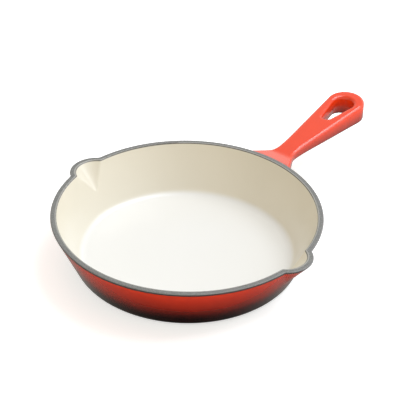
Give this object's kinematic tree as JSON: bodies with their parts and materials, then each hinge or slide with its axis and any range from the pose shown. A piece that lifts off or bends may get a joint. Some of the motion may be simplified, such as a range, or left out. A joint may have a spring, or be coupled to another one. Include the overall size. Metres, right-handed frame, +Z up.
{
  "type": "enamelled cast iron skillet",
  "caption": "Round enamelled cast iron skillet with leaning walls, opposite pouring spouts and a tapered handle with a teardrop hanging hole.",
  "frame": {"origin": "centre of the flat underside, on the axis of the bowl", "axes": "+Z up out of the bowl, +X along the handle towards its tip, the pouring spouts on +Y and -Y"},
  "size_m": [0.3301, 0.2158, 0.0415],
  "materials": {
    "cast_iron": "sand-cast iron, covered all over by the coats",
    "cream_enamel": "smooth satin-gloss vitreous enamel, cream",
    "red_enamel": "glossy vitreous enamel, orange-red on the handle and shaded to almost black towards the base",
    "dark_enamel": "glossy vitreous enamel, almost black",
    "ground_coat": "matt grey-black ground coat"
  },
  "bodies": {
    "root": {"cast_iron_body": "cast_iron", "interior_enamel": "cream_enamel", "exterior_enamel": "red_enamel", "base_enamel": "dark_enamel", "rim_ground_coat": "ground_coat"}
  },
  "joints": []
}
